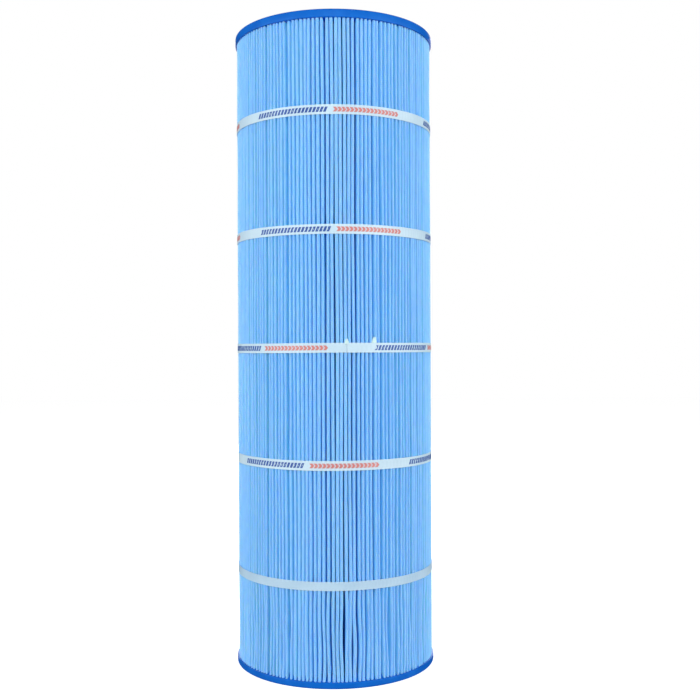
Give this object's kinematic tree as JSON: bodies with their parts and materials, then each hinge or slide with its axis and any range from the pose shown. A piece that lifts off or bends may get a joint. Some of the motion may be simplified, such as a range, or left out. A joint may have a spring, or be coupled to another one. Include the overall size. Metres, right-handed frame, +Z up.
{
  "type": "pleated filter cartridge",
  "caption": "Tall pleated fabric filter cartridge with retaining bands, potted end caps and an open lattice core, for a pool or spa filter tank.",
  "frame": {"origin": "centre of the lower end cap's face, on the cartridge's axis, where it stands on a surface", "axes": "+Z up the cartridge's axis; -Y is the front, where the middle band's lap is; +Y is the sheet's seam"},
  "size_m": [0.227, 0.227, 0.716],
  "materials": {
    "cap_urethane": "cast polyurethane, semi-gloss, coloured right through",
    "media_polyester": "spunbonded polyester sheet, matt with a fine fibre grain",
    "seam_adhesive": "hot-melt bond, smooth",
    "core_plastic": "injection-moulded, light satin",
    "band_strip": "flat woven-backed strip with a smooth face and printed marks",
    "band_adhesive": "clear to milky hot-melt film"
  },
  "bodies": {
    "root": {"top_end_cap": "cap_urethane", "bottom_end_cap": "cap_urethane", "pleated_media": "media_polyester", "media_seam_bond": "seam_adhesive", "core_section_1": "core_plastic", "core_section_2": "core_plastic", "core_section_3": "core_plastic", "core_section_4": "core_plastic", "core_section_5": "core_plastic", "core_section_6": "core_plastic", "band_1": "band_strip", "band_adhesive_1": "band_adhesive", "band_2": "band_strip", "band_adhesive_2": "band_adhesive", "band_3": "band_strip", "band_adhesive_3": "band_adhesive", "band_4": "band_strip", "band_adhesive_4": "band_adhesive", "band_5": "band_strip", "band_adhesive_5": "band_adhesive"}
  },
  "joints": []
}
